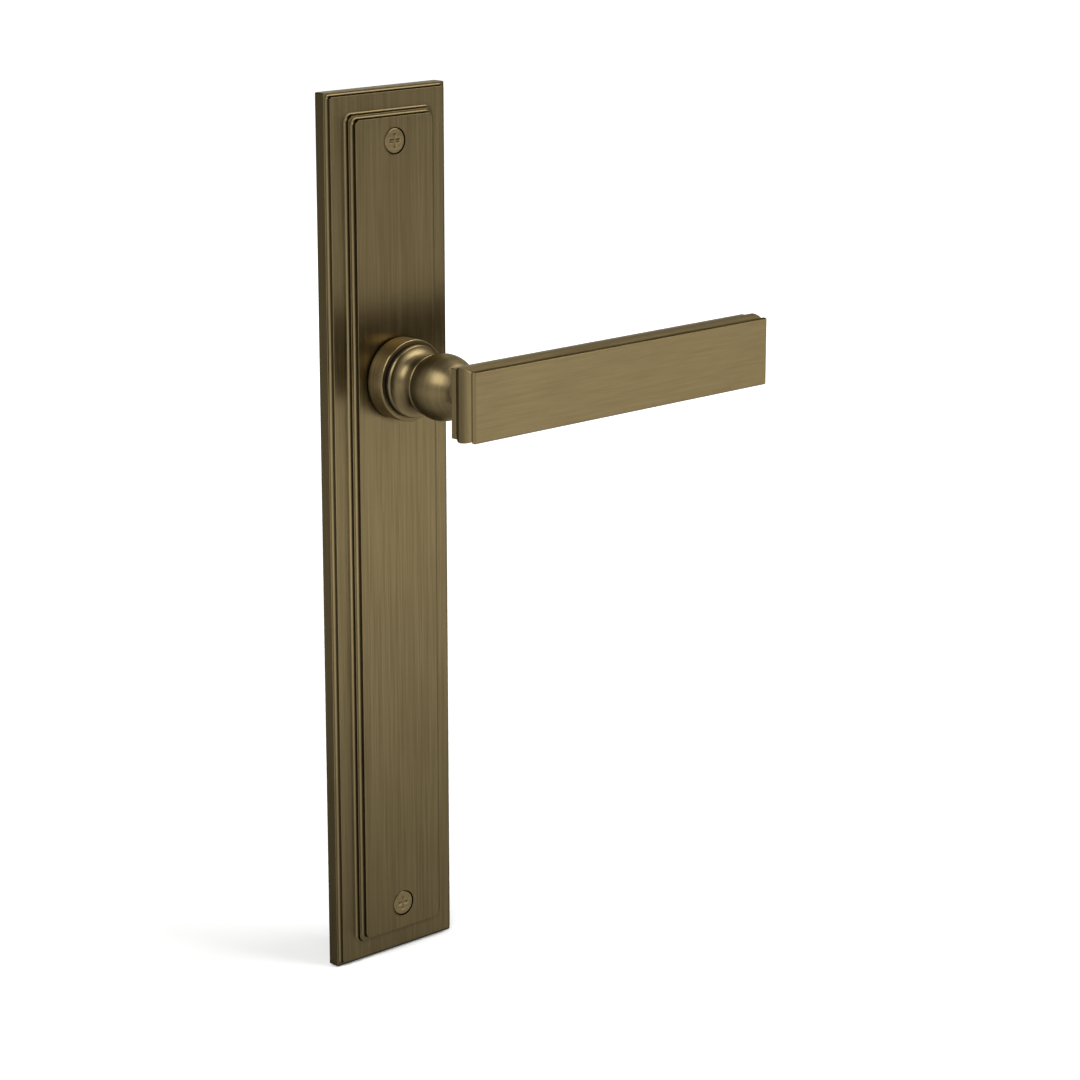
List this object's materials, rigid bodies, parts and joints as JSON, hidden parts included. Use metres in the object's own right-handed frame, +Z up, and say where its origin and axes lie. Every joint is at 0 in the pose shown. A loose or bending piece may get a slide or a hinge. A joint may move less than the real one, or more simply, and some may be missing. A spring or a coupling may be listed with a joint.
{
  "type": "door lever handle on backplate",
  "caption": "Lever door handle on a long stepped backplate: sprung straight lever with a turned neck, square spindle and two fixing screws.",
  "frame": {"origin": "on the spindle axis, in the plane where the backplate lies on the door", "axes": "+X along the lever, +Y into the door, +Z up; the front of the handle faces -Y"},
  "size_m": [0.119, 0.0696, 0.24],
  "materials": {
    "antique_brass": "brushed antique bronze",
    "antique_screw": "antique bronze",
    "zinc_steel": "zinc plated",
    "spring_steel": "oiled spring steel",
    "black_steel": "black oxide",
    "black_nylon": "black nylon"
  },
  "bodies": {
    "plate": {"backplate": "antique_brass", "fixing_screws": "antique_screw", "collar_ring": "antique_brass", "neck_bush": "black_nylon", "thrust_washer": "black_nylon", "spring_cup": "zinc_steel", "spring_cover": "zinc_steel", "cover_screws": "zinc_steel", "return_spring": "spring_steel"},
    "lever": {"lever_neck": "antique_brass", "grub_screw": "black_steel", "square_spindle": "zinc_steel", "grip_face_plate": "antique_brass", "grip_body": "antique_brass", "grip_screw": "zinc_steel", "neck_dowels": "zinc_steel", "face_plate_pins": "zinc_steel", "spring_driver": "zinc_steel", "stop_pin": "zinc_steel", "circlip": "spring_steel", "curved_washer": "spring_steel"}
  },
  "joints": [
    {"name": "lever_turn", "type": "hinge", "parent": "plate", "child": "lever", "pos_m": [0, 0, 0], "axis": [0, 1, 0], "range_deg": [0, 45], "stiffness_Nm_per_rad": 0.127, "springref_deg": -68.75, "deforming": ["return_spring"]}
  ]
}
